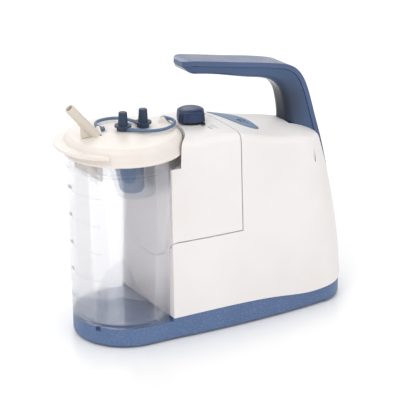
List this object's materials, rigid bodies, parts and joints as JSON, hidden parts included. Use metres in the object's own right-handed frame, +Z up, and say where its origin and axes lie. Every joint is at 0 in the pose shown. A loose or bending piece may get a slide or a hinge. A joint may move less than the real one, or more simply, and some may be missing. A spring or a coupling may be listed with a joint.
{
  "type": "suction pump",
  "caption": "Portable medical suction pump: clear D-shaped collection jar with a stoppered lid and leaning inlet in front of a white housing with a forward carrying handle.",
  "frame": {"origin": "on the table, at the middle of the pump's footprint box", "axes": "+Z up, +X from the collection jar at the front to the handle's tail at the back, +Y to the left as seen from behind the jar looking forward along +X"},
  "size_m": [0.314, 0.1176, 0.2714],
  "materials": {
    "body_white": "satin moulded ABS, warm white",
    "lid_beige": "satin moulded polypropylene, beige white",
    "base_blue": "fine textured moulding with a pearl fleck",
    "handle_blue": "satin periwinkle moulding",
    "knob_navy": "satin moulding",
    "panel_blue": "satin inlay",
    "stopper_slate": "soft elastomer",
    "strap_blue": "soft elastomer",
    "cup_blue": "translucent moulding",
    "jar_clear": "clear polycarbonate, faint lavender",
    "seal_black": "matte",
    "float_white": "moulded",
    "inner_black": "moulded",
    "inner_grey": "moulded",
    "hose_clear": "silicone tube",
    "steel": "plain",
    "aluminium": "machined",
    "brass": "turned",
    "board_green": "solder resist",
    "battery_wrap": "shrink wrap"
  },
  "bodies": {
    "pump": {"base_tray": "base_blue", "bottom_plate": "base_blue", "rubber_feet": "seal_black", "base_screws": "steel", "main_housing": "body_white", "front_cover": "body_white", "handle_upper_shell": "handle_blue", "handle_lower_shell": "handle_blue", "handle_screws": "steel", "control_panel": "panel_blue", "power_switch": "inner_black", "button_spring": "steel", "port_seal": "seal_black", "vacuum_port": "inner_grey", "regulator_body": "aluminium", "regulator_spring": "steel", "valve_poppet": "seal_black", "motor_case": "steel", "pump_frame": "inner_grey", "vibration_mounts": "seal_black", "cylinder": "aluminium", "valve_plate": "aluminium", "flap_valves": "steel", "cylinder_head": "aluminium", "vacuum_hose": "hose_clear", "pump_hose": "hose_clear", "exhaust_hose": "hose_clear", "exhaust_silencer": "inner_black", "battery_pack": "battery_wrap", "circuit_board": "board_green", "power_inlet": "inner_black"},
    "jar": {"jar": "jar_clear"},
    "lid": {"jar_lid": "lid_beige", "inlet_spigot": "lid_beige", "lid_gasket": "seal_black", "float_cup": "cup_blue", "splash_baffle": "lid_beige"},
    "float": {"float_body": "float_white"},
    "plug_front": {"plug_front": "stopper_slate", "tether_front": "strap_blue"},
    "plug_rear": {"plug_rear": "stopper_slate", "tether_rear": "strap_blue"},
    "button": {"power_button": "panel_blue"},
    "knob": {"regulator_knob": "knob_navy", "regulator_spindle": "brass"},
    "seat": {"spring_seat": "brass"},
    "rotor": {"motor_rotor": "steel", "cooling_fan": "inner_black", "crank_disc": "aluminium"},
    "piston": {"piston_rod": "aluminium", "piston_seal": "seal_black"}
  },
  "joints": [
    {"name": "jar_remove", "type": "slide", "parent": "pump", "child": "jar", "axis": [-0.5, 0, 0.866], "range_m": [0, 0.2]},
    {"name": "lid_lift", "type": "slide", "parent": "jar", "child": "lid", "axis": [0, 0, 1], "range_m": [0, 0.03]},
    {"name": "float_rise", "type": "slide", "parent": "lid", "child": "float", "axis": [0, 0, 1], "range_m": [0, 0.007]},
    {"name": "plug_front_pull", "type": "slide", "parent": "lid", "child": "plug_front", "axis": [0, 0, 1], "range_m": [0, 0.012]},
    {"name": "plug_rear_pull", "type": "slide", "parent": "lid", "child": "plug_rear", "axis": [0, 0, 1], "range_m": [0, 0.012]},
    {"name": "power_press", "type": "slide", "parent": "pump", "child": "button", "axis": [0, 0, -1], "range_m": [0, 0.0008], "stiffness_N_per_m": 800, "deforming": ["button_spring"]},
    {"name": "knob_turn", "type": "hinge", "parent": "pump", "child": "knob", "pos_m": [-0.0115, 0, 0.2], "axis": [0, 0, 1], "range_deg": [0, 270]},
    {"name": "seat_travel", "type": "slide", "parent": "pump", "child": "seat", "axis": [0, 0, -1], "range_m": [0, 0.00452], "deforming": ["regulator_spring"]},
    {"name": "rotor_spin", "type": "hinge", "parent": "pump", "child": "rotor", "pos_m": [0.064, 0, 0.06], "axis": [0, 0, 1], "continuous": true},
    {"name": "piston_stroke", "type": "slide", "parent": "pump", "child": "piston", "axis": [1, 0, 0], "range_m": [-0.003, 0.003]}
  ],
  "couplings": [
    {"joint": "seat_travel", "follows": "knob_turn", "m_per_rad": 0.00095493}
  ]
}
